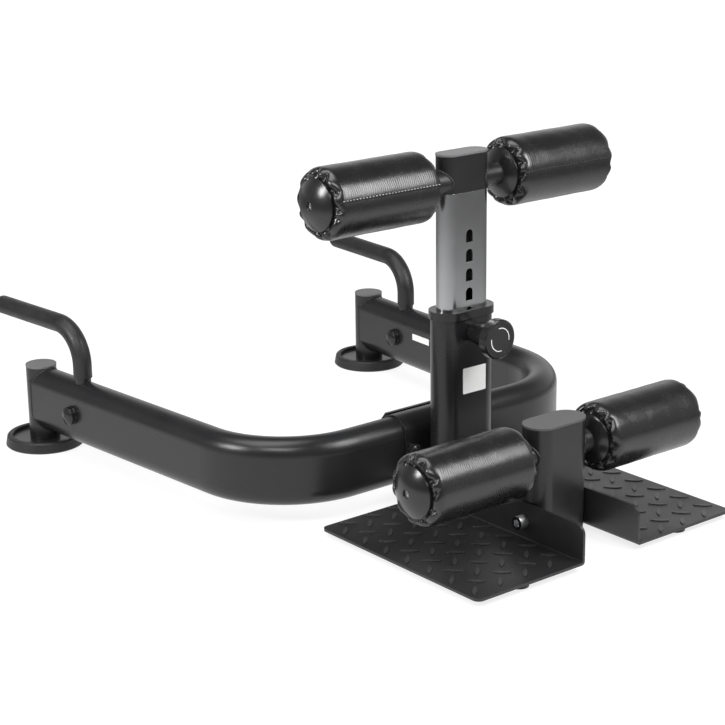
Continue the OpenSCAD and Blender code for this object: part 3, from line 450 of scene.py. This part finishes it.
# Round the ankle rollers' axle, on the lower post
add_axle_seams(lower_y, lower_axis, end_r=tube_r, half_wide=axle_weld_r)
frame_welds = grow("frame_welds", seams, seam_edges, bead_tree,
                   {"Spacing": 0.0017, "Radius": 0.0024, "Finish": powder_coat})
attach(frame_welds, "base")

# Round the calf rollers' axles, on the narrower head
seams, seam_edges = [], []
add_axle_seams(mast_y, upper_axis, end_r=0.0173, half_wide=0.0166)
head_welds = grow("head_welds", seams, seam_edges, bead_tree,
                  {"Spacing": 0.0017, "Radius": 0.0021, "Finish": powder_coat})
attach(head_welds, "mast")


# Tread plates
# Each tread is folded from embossed steel plate. Boots polish the tops of its raised lozenges,
# so the coat there is a little brighter than in the hollows.


def opened(material):
    """A finish's node tree, its shader and its grain group."""
    tree = material.node_tree
    grain_group = next(n for n in tree.nodes if n.type == "GROUP" and n.node_tree == surface_grain)
    return tree, tree.nodes["Principled BSDF"], grain_group


def own_axes(tree):
    """The X, Y and Z of a point on the piece, in the piece's own frame."""
    place_on = tree.nodes.new("ShaderNodeTexCoord")
    apart = tree.nodes.new("ShaderNodeSeparateXYZ")
    tree.links.new(place_on.outputs["Object"], apart.inputs[0])
    return apart.outputs


def paint_over(material, share, colour):
    """A second colour laid over a finish's own, by a share from 0 to 1."""
    tree, skin, worn = opened(material)
    over = tree.nodes.new("ShaderNodeMix")
    over.data_type = "RGBA"
    over.inputs["B"].default_value = (*colour, 1)
    tree.links.new(share, over.inputs["Factor"])
    tree.links.new(worn.outputs["Color"], over.inputs["A"])
    tree.links.new(over.outputs["Result"], skin.inputs["Base Color"])


tread_coat = finish_material("tread_coat", (0.010, 0.010, 0.011), (0.022, 0.022, 0.023),
                             (0.28, 0.42), grain_scale=520, grain_depth=0.2, rub_scale=14)
lozenge_foot, lozenge_top, above_lozenges = 0.0129, 0.0137, 0.0145
tree = tread_coat.node_tree
height = own_axes(tree)["Z"]
raised = ramp_node(tree, height, lozenge_foot, lozenge_top, 0.0, 1.0)
on_plate = sum_node(tree, "LESS_THAN", height, above_lozenges)
paint_over(tread_coat, sum_node(tree, "MULTIPLY", raised, on_plate), (0.032, 0.032, 0.033))
coat(tread_coat, "left_tread", "right_tread")


# Rubber feet and grips
# The floor discs and the pads under the treads are moulded rubber. The handles are dipped in a
# soft black grip with a faint skin.

foot_rubber = finish_material("foot_rubber", (0.010, 0.010, 0.010), (0.022, 0.022, 0.022),
                              (0.38, 0.60), grain_scale=900, grain_depth=0.35, rub_scale=30,
                              specular=0.45)
coat(foot_rubber, "left_foot_disc", "right_foot_disc", "tread_rubber_pads")
grip_rubber = finish_material("grip_rubber", (0.007, 0.007, 0.007), (0.020, 0.020, 0.020),
                              (0.34, 0.56), grain_scale=560, grain_depth=0.5, rub_scale=45,
                              specular=0.5)
coat(grip_rubber, "left_grip", "right_grip")


# Plastic caps and covers
# The tubes' open ends are closed by moulded grey caps, and the bolts by domed black covers. The
# rollers' end caps are smooth black plastic, and the rollers turn on pale plastic core tubes.

grey_cap = finish_material("grey_cap", (0.105, 0.105, 0.108), (0.14, 0.14, 0.143), (0.42, 0.55),
                           grain_scale=1200, grain_depth=0.12, rub_scale=25)
coat(grey_cap, "left_end_cap", "right_end_cap", "mast_head_cap")
# The lower post's cap is a darker grey than the other caps
dark_cap = finish_material("dark_cap", (0.055, 0.055, 0.057), (0.078, 0.078, 0.08), (0.42, 0.55),
                           grain_scale=1200, grain_depth=0.12, rub_scale=25)
coat(dark_cap, "lower_post_cap")
moulded_black = finish_material("moulded_black", (0.008, 0.008, 0.008), (0.014, 0.014, 0.014),
                                (0.18, 0.28), grain_scale=1500, grain_depth=0.08, rub_scale=22)
coat(moulded_black, "bracket_bolt_covers", "handle_bolt_covers", "mast_collar", "mast_guide",
     "pull_knob", "lower_post_plug")
gloss_black = finish_material("gloss_black", (0.006, 0.006, 0.006), (0.011, 0.011, 0.011),
                              (0.19, 0.26), grain_scale=600, grain_depth=0.03, rub_scale=18,
                              specular=0.65)
coat(gloss_black, "lower_inner_caps", "lower_outer_caps", "upper_inner_caps", "upper_outer_caps")
core_plastic = finish_material("core_plastic", (0.25, 0.25, 0.26), (0.32, 0.32, 0.33), (0.4, 0.55))
coat(core_plastic, "upper_left_core", "upper_right_core", "lower_left_core", "lower_right_core")


# Bright metal
# Bolts, nuts and the lock pin are zinc plated, the pin's barrel is nickel plated, and the sliding
# mast is satin chrome, drawn along its length.

zinc_plate = finish_material("zinc_plate", (0.42, 0.43, 0.44), (0.60, 0.61, 0.62), (0.22, 0.38),
                             grain_scale=1600, grain_depth=0.1, rub_scale=60, metallic=1.0)
coat(zinc_plate, "bracket_bolts", "bracket_nuts", "tread_nut", "handle_bolts", "handle_nuts",
     "lock_pin")
tumbled_zinc = finish_material("tumbled_zinc", (0.55, 0.56, 0.57), (0.72, 0.73, 0.74), (0.42, 0.56),
                               grain_scale=1600, grain_depth=0.2, rub_scale=80, metallic=1.0)
coat(tumbled_zinc, "lower_cap_screws", "upper_cap_screws")
# The tread bolt's head is bright steel round its side. Its end, which faces outwards, is painted near
# black, a painted dark reflection
socket_steel = finish_material("socket_steel", (0.75, 0.76, 0.77), (0.88, 0.89, 0.90), (0.42, 0.55),
                               grain_scale=1200, grain_depth=0.1, rub_scale=60, metallic=1.0)
head_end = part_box("tread_bolt")[0][0] + 0.0002
tree = socket_steel.node_tree
painted_dark_reflection = sum_node(tree, "LESS_THAN", own_axes(tree)["X"], head_end)
paint_over(socket_steel, painted_dark_reflection, (0.03, 0.03, 0.03))
coat(socket_steel, "tread_bolt")
nickel_plate = finish_material("nickel_plate", (0.50, 0.49, 0.47), (0.66, 0.65, 0.62), (0.12, 0.2),
                               grain_scale=1500, grain_depth=0.05, rub_scale=40, metallic=1.0)
coat(nickel_plate, "pin_barrel")
satin_chrome = finish_material("satin_chrome", (0.43, 0.434, 0.442), (0.52, 0.524, 0.532),
                               (0.18, 0.25), grain_scale=300, grain_depth=0.02, rub_scale=12,
                               metallic=1.0)
tree, skin, worn = opened(satin_chrome)
nodes, links = tree.nodes, tree.links
place_on = nodes.new("ShaderNodeTexCoord")
draw_out = nodes.new("ShaderNodeMapping")
draw_out.inputs["Scale"].default_value = (700, 700, 6)
links.new(place_on.outputs["Object"], draw_out.inputs["Vector"])
streaks = nodes.new("ShaderNodeTexNoise")
streaks.inputs["Scale"].default_value = 1.0
streaks.inputs["Detail"].default_value = 4
links.new(draw_out.outputs["Vector"], streaks.inputs["Vector"])
drawn = nodes.new("ShaderNodeBump")
drawn.inputs["Strength"].default_value = 0.05
drawn.inputs["Distance"].default_value = 0.0004
links.new(streaks.outputs["Fac"], drawn.inputs["Height"])
links.new(worn.outputs["Normal"], drawn.inputs["Normal"])
links.new(drawn.outputs["Normal"], skin.inputs["Normal"])
coat(satin_chrome, "mast")


# Pin spring
# The return spring is four turns of round steel wire, wound round the lock pin inside its barrel.
# One end stands on the barrel's outer end, and the pin's collar presses the other when it is pulled.

spring_low, spring_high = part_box("pin_spring")
spring_z = (spring_low[2] + spring_high[2]) / 2
wire_r = 0.0007
coil_r = (spring_high[2] - spring_low[2]) / 2 - wire_r
spring_turns = 4
turn_steps = 32
wire_sides = 10
spring_len = spring_high[1] - spring_low[1]
points, faces = [], []
for k in range(spring_turns * turn_steps + 1):
    a = 2 * math.pi * k / turn_steps
    y = spring_low[1] + wire_r + (spring_len - 2 * wire_r) * k / (spring_turns * turn_steps)
    for side in range(wire_sides):
        b = 2 * math.pi * side / wire_sides
        r = coil_r + wire_r * math.cos(b)
        points.append((r * math.cos(a), y + wire_r * math.sin(b), spring_z + r * math.sin(a)))
for k in range(spring_turns * turn_steps):
    for side in range(wire_sides):
        here, beside = k * wire_sides + side, k * wire_sides + (side + 1) % wire_sides
        faces.append((here, beside, beside + wire_sides, here + wire_sides))
last_ring = spring_turns * turn_steps * wire_sides
faces.append(tuple(reversed(range(wire_sides))))
faces.append(tuple(range(last_ring, last_ring + wire_sides)))
spring_wire = add_mesh("spring_wire", points, faces, material=zinc_plate)
for polygon in spring_wire.data.polygons:
    polygon.use_smooth = len(polygon.vertices) == 4
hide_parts("pin_spring")
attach(spring_wire, "base")
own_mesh(spring_wire)


# Labels
# Two blank stickers, one on the front of the mast's sleeve and one inside the right arm. They are
# thin white film with rounded corners, pressed on over the paint.

label_film = finish_material("label_film", (0.74, 0.74, 0.73), (0.84, 0.84, 0.83), (0.30, 0.42),
                             grain_scale=1200, grain_depth=0.05, rub_scale=60, edge_radius=0.0001)
film_lift, film_thick = 0.0001, 0.00022


def sticker(name, middle, along, up, wide, high, corner):
    """A thin film with rounded corners, laid on a flat face."""
    along, up = Vector(along).normalized(), Vector(up).normalized()
    out = along.cross(up)
    rim = []
    corner_steps = 6
    for cx, cy, start in ((1, 1, 0), (-1, 1, 90), (-1, -1, 180), (1, -1, 270)):
        for step in range(corner_steps + 1):
            a = math.radians(start + 90 * step / corner_steps)
            u = cx * (wide / 2 - corner) + corner * math.cos(a)
            v = cy * (high / 2 - corner) + corner * math.sin(a)
            rim.append(Vector(middle) + along * u + up * v + out * film_lift)
    count = len(rim)
    points = rim + [point + out * film_thick for point in rim]
    faces = [tuple(reversed(range(count))), tuple(range(count, 2 * count))]
    for k in range(count):
        n = (k + 1) % count
        faces.append((k, n, n + count, k + count))
    piece = add_mesh(name, points, faces, material=label_film)
    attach(piece, "base")


sticker("sleeve_label", (0.003, mast_y - tube_r, 0.190), (1, 0, 0), (0, 0, 1),
        wide=0.0432, high=0.038, corner=0.0015)
label_y = 0.2201
arm_x = post_x - (post_y - label_y) * math.tan(arm_splay)
sticker("arm_label", (arm_x - tube_r / math.cos(arm_splay), label_y, 0.0915),
        (-math.sin(arm_splay), -math.cos(arm_splay), 0), (0, 0, 1),
        wide=0.048, high=0.011, corner=0.001)


# Knob face
# The pull knob's face is a flat moulded disc, pressed into its end. It carries two plain pale arcs,
# printed on the plastic to show that the knob turns.

knob_print = finish_material("knob_print", (0.010, 0.010, 0.010), (0.016, 0.016, 0.016), (0.18, 0.26),
                             grain_scale=1500, grain_depth=0.05, rub_scale=22)
face_marks, given, result = add_group(
    "face_marks",
    [("Centre Height", "NodeSocketFloat", 0.261), ("Radius", "NodeSocketFloat", 0.0165),
     ("Line Width", "NodeSocketFloat", 0.0012)],
    [("Mask", "NodeSocketFloat")])
on_face = own_axes(face_marks)
rise = sum_node(face_marks, "SUBTRACT", on_face["Z"], given.outputs["Centre Height"])
across_squared = sum_node(face_marks, "MULTIPLY", on_face["X"], on_face["X"])
rise_squared = sum_node(face_marks, "MULTIPLY", rise, rise)
from_centre = sum_node(face_marks, "SQRT", sum_node(face_marks, "ADD", across_squared, rise_squared))
past_line = sum_node(face_marks, "SUBTRACT", from_centre, given.outputs["Radius"])
off_line = sum_node(face_marks, "ABSOLUTE", past_line)
half_line = sum_node(face_marks, "MULTIPLY", given.outputs["Line Width"], 0.5)
on_line = sum_node(face_marks, "LESS_THAN", off_line, half_line)
turn = sum_node(face_marks, "ARCTAN2", rise, on_face["X"])
two_waves = sum_node(face_marks, "SINE", sum_node(face_marks, "MULTIPLY", turn, 2.0))
in_arcs = sum_node(face_marks, "GREATER_THAN", two_waves, -0.35)
inked = sum_node(face_marks, "MULTIPLY", on_line, in_arcs)
face_marks.links.new(inked, result.inputs["Mask"])
printed = knob_print.node_tree.nodes.new("ShaderNodeGroup")
printed.node_tree = face_marks
paint_over(knob_print, printed.outputs["Mask"], (0.8, 0.8, 0.8))
coat(knob_print, "knob_disc")


# Roller pads
# Each roller is a foam sleeve in black upholstery vinyl. The vinyl is drawn tight over the foam's
# square ends and gathered under the end caps, so the end face puckers into a dozen small bags.

vinyl = finish_material("roller_vinyl", (0.007, 0.007, 0.007), (0.012, 0.012, 0.012),
                        (0.22, 0.30), grain_scale=900, grain_depth=0.08, rub_scale=40,
                        specular=0.7, edge_radius=0.0002)
tree, skin, worn = opened(vinyl)
nodes, links = tree.nodes, tree.links
place_on = nodes.new("ShaderNodeTexCoord")
pebble = nodes.new("ShaderNodeTexVoronoi")
pebble.feature = "SMOOTH_F1"
pebble.inputs["Scale"].default_value = 620
links.new(place_on.outputs["Object"], pebble.inputs["Vector"])
press = nodes.new("ShaderNodeBump")
press.inputs["Strength"].default_value = 0.09
press.inputs["Distance"].default_value = 0.0005
press.invert = True
links.new(pebble.outputs["Distance"], press.inputs["Height"])
links.new(worn.outputs["Normal"], press.inputs["Normal"])
# Fine creases run round the pad, where the vinyl is stretched over the foam
facing = nodes.new("ShaderNodeNewGeometry")
sideways = nodes.new("ShaderNodeSeparateXYZ")
links.new(facing.outputs["Normal"], sideways.inputs[0])
end_on = sum_node(tree, "ABSOLUTE", sideways.outputs["X"])
round_body = ramp_node(tree, end_on, 0.1, 0.4, 1.0, 0.0)
creases = nodes.new("ShaderNodeTexWave")
creases.inputs["Scale"].default_value = 92
creases.inputs["Distortion"].default_value = 7
creases.inputs["Detail"].default_value = 3
creases.inputs["Detail Scale"].default_value = 0.5
links.new(place_on.outputs["Object"], creases.inputs["Vector"])
crease = nodes.new("ShaderNodeBump")
crease.inputs["Strength"].default_value = 0.2
crease.inputs["Distance"].default_value = 0.0005
links.new(sum_node(tree, "MULTIPLY", creases.outputs["Fac"], round_body), crease.inputs["Height"])
links.new(press.outputs["Normal"], crease.inputs["Normal"])
links.new(crease.outputs["Normal"], skin.inputs["Normal"])

pad_half, pad_r = 0.0887, 0.050
pleats = 12
columns = pleats * 14
# In millimetres, from the bore out to the middle: inset from the pad's end, radius and the share of
# a gather's depth
profile = ((0.4, 22.2, 0), (0.4, 29.0, 0), (0.4, 33.5, 0.1), (0.5, 35.2, 0.3), (0.2, 36.6, 0.55),
           (-0.8, 38.0, 0.9), (-1.5, 39.6, 1), (-1.6, 41.2, 1), (-1.2, 42.8, 0.96), (-0.1, 44.4, 0.85),
           (1.5, 45.9, 0.58), (3.4, 47.2, 0.3), (5.6, 48.3, 0.12), (8.0, 49.1, 0.03),
           (10.6, 49.5, 0), (13.5, 49.65, 0), (17, 49.65, 0), (22, 49.65, 0), (32, 49.6, 0),
           (46, 49.6, 0), (62, 49.6, 0), (78, 49.6, 0))
# In millimetres too: where the gathered face begins and how wide it is, and what stays put in the
# cloth step, which is the cover within this radius, beyond this inset or in folds past this depth
face_from, face_wide = 36, 13
held_below, held_beyond, held_deep = 35.0, 16, 3.2
draw = np.random.default_rng(7)


def gathers():
    """Fold angles, slants, depths, widths and dimples round one end of a pad."""
    turn = 2 * math.pi / pleats
    angles = (np.arange(pleats) + draw.uniform(-0.22, 0.22, pleats)) * turn
    return (angles, draw.uniform(-0.2, 0.2, pleats), draw.uniform(9.0, 13.0, pleats),
            draw.uniform(0.36, 0.6, pleats), draw.uniform(0.0, 2.0, pleats))


def fold_depth(ends, angle, across, share):
    """Depth in millimetres of the folds at one place of an end; across runs 0 to 1 over the face."""
    angles, slants, depths, widths, dimples = ends
    lines = angles + slants * across
    turn = (angle - lines) % (2 * math.pi)
    k = int(np.argmin(turn))
    n = (k + 1) % pleats
    gap = (lines[n] - lines[k]) % (2 * math.pi)
    p = turn[k] / gap
    near = k if p < 0.5 else n
    bag = math.sin(math.pi * p) ** widths[near]
    dimple = dimples[k] * math.exp(-((p - 0.5) / 0.13) ** 2 - (across / 0.45) ** 2)
    return share * (depths[near] * (1 - bag) + dimple)


ends = (gathers(), gathers())
half_rings = len(profile)
points, faces, held = [], [], []
for side, row in ((-1, range(half_rings)), (1, range(half_rings - 1, -1, -1))):
    for k in row:
        inset, r, share = profile[k]
        before, after = profile[max(0, k - 1)], profile[min(half_rings - 1, k + 1)]
        run, climb = after[0] - before[0], after[1] - before[1]
        norm = math.hypot(run, climb) or 1
        # into the pad, along its axis and towards its axis
        inward, down = climb / norm, run / norm
        across = min(1, max(0, (r - face_from) / face_wide))
        for c in range(columns):
            a = 2 * math.pi * c / columns
            deep = fold_depth(ends[side > 0], a, across, share) if share else 0
            x = pad_half - (inset + deep * inward) / 1000
            rr = (r - deep * down) / 1000
            held.append(r < held_below or inset > held_beyond or deep > held_deep * share)
            points.append((side * x, rr * math.cos(a), rr * math.sin(a)))
count = 2 * half_rings
for k in range(count):
    n = (k + 1) % count
    for c in range(columns):
        d = (c + 1) % columns
        faces.append((k * columns + c, k * columns + d, n * columns + d, n * columns + c))
blank = add_mesh("pad_blank", points, faces)

# The foam pushes the bags between the folds out, while the folds and the tight cover stay put
rest = np.array(points)
shaped = rest.copy()
pinned = blank.vertex_groups.new(name="held")
pinned.add([k for k, fixed in enumerate(held) if fixed], 1.0, "REPLACE")
swell = blank.modifiers.new("swell", "CLOTH")
swell.settings.vertex_group_mass = "held"
swell.settings.quality = 5
swell.settings.mass = 0.3
swell.settings.tension_stiffness = 20
swell.settings.compression_stiffness = 8
swell.settings.bending_stiffness = 0.3
swell.settings.use_pressure = True
swell.settings.uniform_pressure_force = 5
swell.settings.effector_weights.gravity = 0
swell.collision_settings.use_collision = False
last_step = 20
swell.point_cache.frame_start, swell.point_cache.frame_end = 1, last_step
for step in range(1, last_step + 1):
    scene.frame_set(step)
seen = blank.evaluated_get(bpy.context.evaluated_depsgraph_get())
swollen = np.array([v.co for v in seen.data.vertices])
scene.frame_set(1)
blank.modifiers.remove(swell)
move = swollen - rest
length = np.linalg.norm(move, axis=1, keepdims=True)
furthest = 0.0012
shaped = rest + move * np.minimum(1.0, furthest / np.maximum(length, 1e-9))
radius = np.hypot(shaped[:, 1], shaped[:, 2])
shaped[:, 1:] *= np.minimum(1.0, (pad_r - 0.0002) / radius)[:, None]
# The bags may stand a little proud beside the end cap, but nothing reaches under its rim
rim_r, clear_r = 0.0362, 0.0385
proud = np.interp(radius, (rim_r, clear_r), (-0.0003, 0.0024))
shaped[:, 0] = np.clip(shaped[:, 0], -pad_half - proud, pad_half + proud)
bpy.data.objects.remove(blank)

pale_thread = finish_material("pale_thread", (0.32, 0.32, 0.32), (0.46, 0.46, 0.46), (0.5, 0.7),
                              grain_scale=2500, grain_depth=0.4, rub_scale=200, edge_radius=0.0001)
# The same thread painted dark, a painted shade, for the stitches of the other pads
painted_shade_thread = finish_material("painted_shade_thread", (0.02, 0.02, 0.02), (0.05, 0.05, 0.05), (0.5, 0.7),
                              grain_scale=2500, grain_depth=0.4, rub_scale=200, edge_radius=0.0001)
round_from, round_wide = 0.044, 0.004
seam_lap, lap_fade = 0.0007, 0.014
stitch_r, stitch_above = 0.0497, 0.0012


def round_cover(name, turned, mirrored):
    """A pad's cover from the shaped blank, turned on its axis, mirrored or not, and made finer."""
    flip = -1 if mirrored else 1
    cos_t, sin_t = math.cos(turned), math.sin(turned)
    placed = [(flip * x, y * cos_t - z * sin_t, y * sin_t + z * cos_t) for x, y, z in shaped]
    order = faces if mirrored else [tuple(reversed(f)) for f in faces]
    cover = add_mesh(name, placed, order)
    coarse = cover.data
    finer = cover.modifiers.new("finer", "SUBSURF")
    finer.levels = finer.render_levels = 1
    fine = settled_mesh(cover)
    cover.modifiers.clear()
    cover.data = fine
    bpy.data.meshes.remove(coarse)
    fine.name = name
    return cover


def lapped(spot, seam_a, turned):
    """A cover's points once its edges overlap at the seam and the vinyl ripples over the foam."""
    r = np.hypot(spot[:, 1], spot[:, 2])
    a = np.arctan2(spot[:, 2], spot[:, 1])
    outer = np.clip((r - round_from) / round_wide, 0, 1)
    off = ((a - seam_a + math.pi) % (2 * math.pi) - math.pi) * pad_r
    lap = seam_lap * np.clip((off + 0.0003) / 0.0008, 0, 1) * np.exp(-np.maximum(off, 0) / lap_fade)
    inner = np.clip((pad_half - np.abs(spot[:, 0]) - 0.012) / 0.02, 0, 1)
    long_wave = 0.00012 * np.sin(spot[:, 0] * 75 + 2 * a + turned)
    short_wave = 0.00008 * np.sin(spot[:, 0] * 190 - 3 * a)
    sunk = outer * (lap + inner * (0.0001 + (long_wave + short_wave)))
    r_new = np.minimum(r - sunk, pad_r - 0.0001)
    return np.column_stack((spot[:, 0], r_new * np.cos(a), r_new * np.sin(a)))


# name, middle, axis place, turn of the pad, mirrored, seam angle above the front
for name, mid_x, mid_y, mid_z, turned, mirrored, seam in (
        ("upper_left", -0.1645, mast_y, upper_axis, 0.4, False, 11.5),
        ("upper_right", 0.1645, mast_y, upper_axis, 2.1, True, 6.7),
        ("lower_left", -0.162, lower_y, lower_axis, 3.6, False, -105.0),
        ("lower_right", 0.162, lower_y, lower_axis, 5.2, True, -95.0)):
    pad = round_cover(name + "_vinyl", turned, mirrored)
    seam_a = math.radians(180 - seam)
    spot = lapped(np.array([v.co for v in pad.data.vertices]), seam_a, turned)
    spot += (mid_x, mid_y, mid_z)
    pad.data.vertices.foreach_set("co", spot.ravel())
    pad.data.materials.clear()
    pad.data.materials.append(vinyl)
    for polygon in pad.data.polygons:
        polygon.use_smooth = True
    pad.data.update()
    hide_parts(name + "_pad")
    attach(pad, name + "_roller")
    # A row of stitches just above the seam holds the two edges of the vinyl. Only the upper left pad's
    # thread is pale; on the other pads the thread is painted dark, as painted shade
    stitch_a = seam_a - stitch_above / pad_r
    stitch_y = mid_y + stitch_r * math.cos(stitch_a)
    stitch_z = mid_z + stitch_r * math.sin(stitch_a)
    row = [(mid_x + x, stitch_y, stitch_z)
           for x in np.linspace(0.007 - pad_half, pad_half - 0.007, 40)]
    stitches = grow(name + "_stitches", row, line_edges(0, len(row), False), bead_tree,
                    {"Spacing": 0.0053, "Radius": 0.00065, "Proportions": (1.0, 1.0, 2.3),
                     "Finish": pale_thread if name == "upper_left" else painted_shade_thread})
    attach(stitches, name + "_roller")
